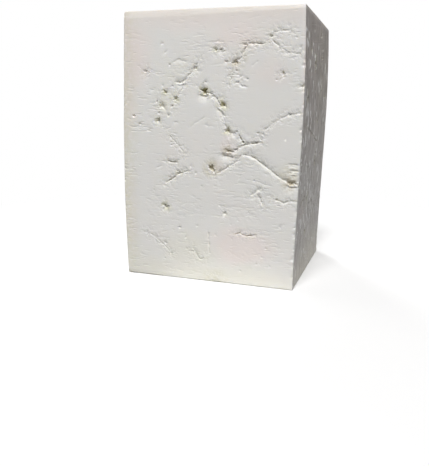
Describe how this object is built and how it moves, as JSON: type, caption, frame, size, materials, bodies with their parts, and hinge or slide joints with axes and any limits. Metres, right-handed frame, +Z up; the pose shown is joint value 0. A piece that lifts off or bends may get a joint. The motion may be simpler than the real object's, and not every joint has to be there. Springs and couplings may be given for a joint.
{
  "type": "white brined cheese block",
  "caption": "Block of hard, salted white cheese standing on its end, with a cut face broken by fissures and small pits between the curds",
  "frame": {"origin": "on the surface the block stands on, under the middle of its box", "axes": "+Z up along the longest side, -Y out of the cut face with the widest fissures, +X to the right as that face is looked at"},
  "size_m": [0.0904, 0.0862, 0.13],
  "materials": {
    "curd": "matt, slightly moist white curd with a faint warm tint, darker and greener in the fissures"
  },
  "bodies": {
    "root": {"cheese_block": "curd"}
  },
  "joints": []
}
